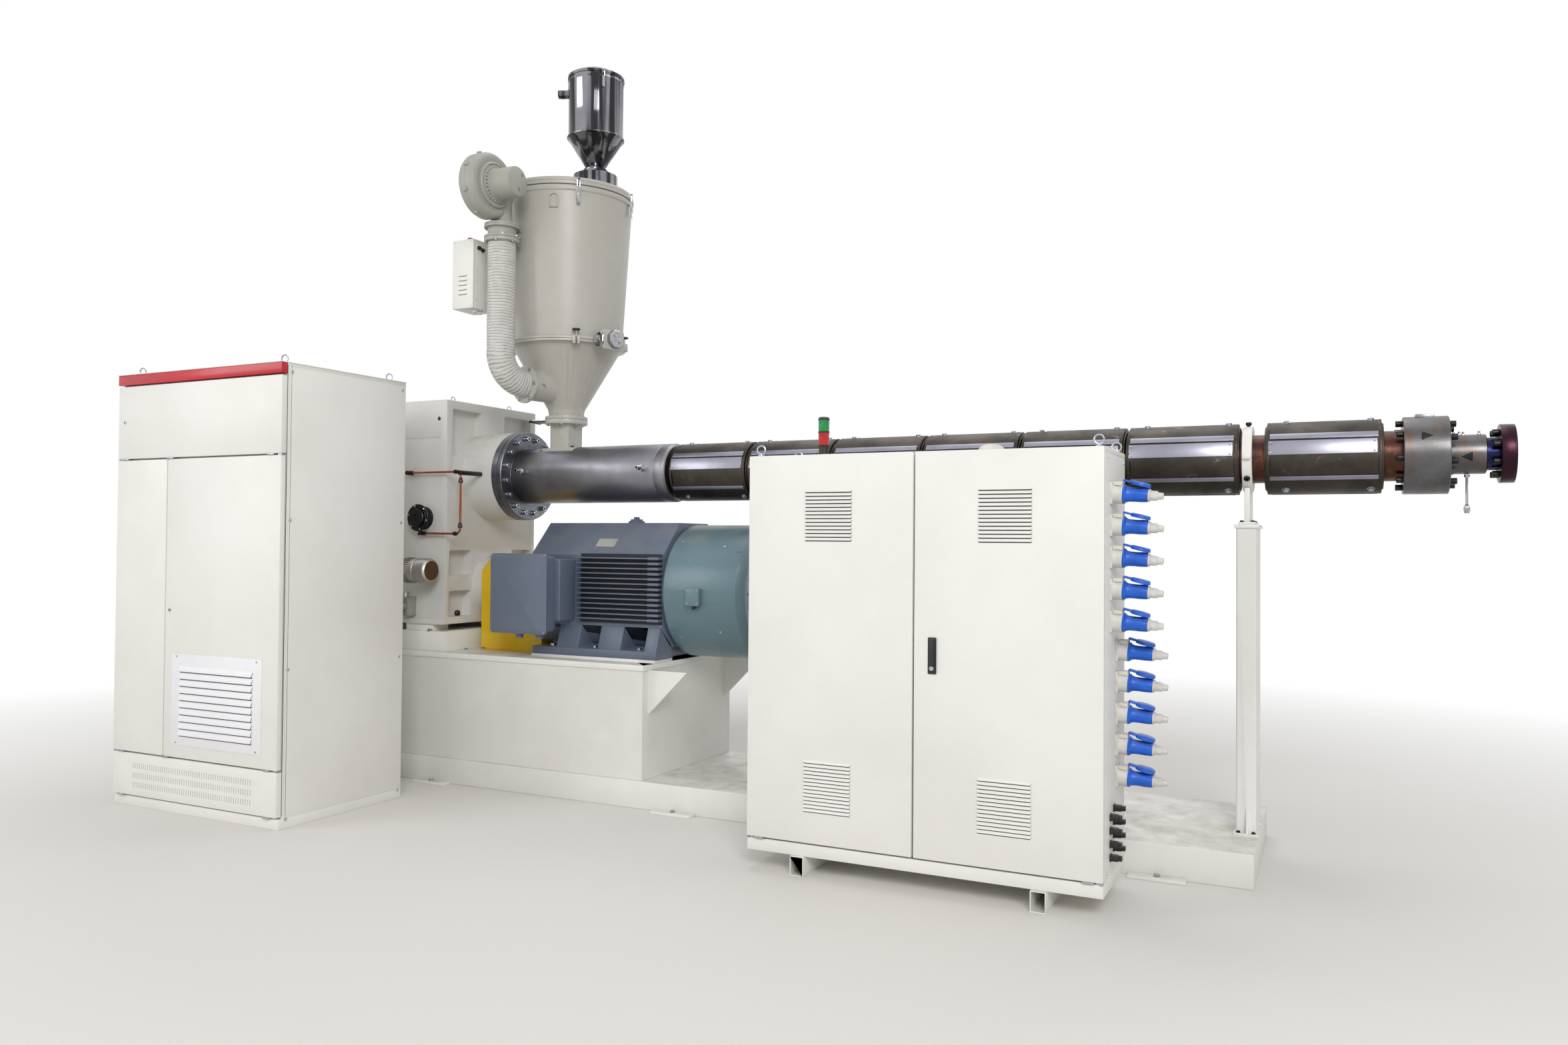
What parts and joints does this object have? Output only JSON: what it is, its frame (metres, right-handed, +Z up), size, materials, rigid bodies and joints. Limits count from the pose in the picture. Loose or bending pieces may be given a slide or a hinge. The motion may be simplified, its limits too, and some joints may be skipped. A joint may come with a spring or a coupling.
{
  "type": "plastic extruder",
  "caption": "Plastic extruder on a long bed, with gearbox, motor, heated barrel, hopper dryer, vacuum loader and control cabinets.",
  "frame": {"origin": "on the floor under the barrel axis, in the plane of the gearbox face that carries the barrel; it lies on the underside of the bed's plinth", "axes": "+X along the barrel from the gearbox to the outlet, +Y away from the operator's side, +Z up"},
  "size_m": [6.281, 2.172, 4.1513],
  "materials": {
    "bed_paint": "satin enamel on welded steel",
    "casting_paint": "satin enamel on cast iron",
    "machined_steel": "turned",
    "dark_casting": "dark, semi-gloss",
    "bare_aluminium": "cast, bare",
    "copper_pipe": "drawn copper",
    "motor_paint": "semi-gloss enamel on cast iron",
    "cowl_paint": "gloss enamel on sheet steel",
    "guard_paint": "gloss enamel on sheet steel",
    "feed_steel": "aluminium paint on steel",
    "tempered_steel": "heat tinted",
    "shroud_sheet": "satin, dark bronze-grey sheet",
    "panel_sheet": "satin sheet",
    "hopper_paint": "textured powder coat",
    "chrome_plate": "plated",
    "blower_paint": "powder coat on cast aluminium",
    "duct_wrap": "wound glass-fibre tape",
    "polished_steel": "polished stainless steel",
    "cabinet_paint": "fine textured powder coat",
    "header_paint": "gloss enamel",
    "zinc_plate": "blue zinc plate",
    "socket_plastic": "moulded",
    "plug_plastic": "moulded",
    "black_plastic": "moulded",
    "lamp_plastic": "moulded, red and green lenses"
  },
  "bodies": {
    "machine": {"bed_plinth": "bed_paint", "bed_box": "bed_paint", "foot_plates": "bed_paint", "gearbox_riser": "bed_paint", "gearbox_housing": "casting_paint", "barrel_flange": "machined_steel", "oil_filter": "dark_casting", "oil_pump_motor": "bare_aluminium", "oil_gear_pump": "bare_aluminium", "oil_pipes": "copper_pipe", "motor_body": "motor_paint", "motor_fan_cowl": "cowl_paint", "motor_terminal_box": "motor_paint", "coupling_guard": "guard_paint", "feed_section": "feed_steel", "hose_fittings": "machined_steel", "barrel_tube": "tempered_steel", "heater_shrouds": "shroud_sheet", "shroud_panels": "panel_sheet", "barrel_post": "bed_paint", "barrel_clamp": "bed_paint", "outlet_ring": "machined_steel", "outlet_adapter": "machined_steel", "outlet_flange": "tempered_steel", "melt_sensor": "machined_steel", "hopper_throat": "hopper_paint", "hopper_cone": "hopper_paint", "hopper_drum": "hopper_paint", "hopper_lid": "hopper_paint", "cleanout_latch": "chrome_plate", "dryer_blower": "blower_paint", "hot_air_duct": "duct_wrap", "dryer_control_box": "cabinet_paint", "loader_seat": "polished_steel", "loader_body": "polished_steel", "loader_lid": "polished_steel", "drive_base": "cabinet_paint", "drive_sides": "cabinet_paint", "drive_back": "cabinet_paint", "drive_roof": "cabinet_paint", "drive_header": "header_paint", "drive_front_frame": "cabinet_paint", "drive_centre_post": "cabinet_paint", "drive_upper_door": "cabinet_paint", "drive_slot_panel": "cabinet_paint", "control_feet": "bed_paint", "control_base": "cabinet_paint", "control_sides": "cabinet_paint", "control_back": "cabinet_paint", "control_roof": "cabinet_paint", "door_hinges": "zinc_plate", "plug_sockets": "socket_plastic", "plugs": "plug_plastic", "small_connectors": "black_plastic", "stack_light": "lamp_plastic"},
    "gate": {"slide_gate": "dark_casting"},
    "narrow_door": {"drive_narrow_door": "cabinet_paint"},
    "wide_door": {"drive_wide_door": "cabinet_paint"},
    "left_door": {"control_left_door": "cabinet_paint"},
    "right_door": {"control_right_door": "cabinet_paint"}
  },
  "joints": [
    {"name": "gate_slide", "type": "slide", "parent": "machine", "child": "gate", "axis": [-1, 0, 0], "range_m": [0, 0.125]},
    {"name": "narrow_door_hinge", "type": "hinge", "parent": "machine", "child": "narrow_door", "pos_m": [-1.059, -1.624, 1], "axis": [0, 0, -1], "range_deg": [0, 110]},
    {"name": "wide_door_hinge", "type": "hinge", "parent": "machine", "child": "wide_door", "pos_m": [0.129, -1.624, 1], "axis": [0, 0, 1], "range_deg": [0, 110]},
    {"name": "left_door_hinge", "type": "hinge", "parent": "machine", "child": "left_door", "pos_m": [2.36, -1.124, 0.9], "axis": [0, 0, -1], "range_deg": [0, 110]},
    {"name": "right_door_hinge", "type": "hinge", "parent": "machine", "child": "right_door", "pos_m": [3.808, -1.124, 0.9], "axis": [0, 0, 1], "range_deg": [0, 110]}
  ]
}
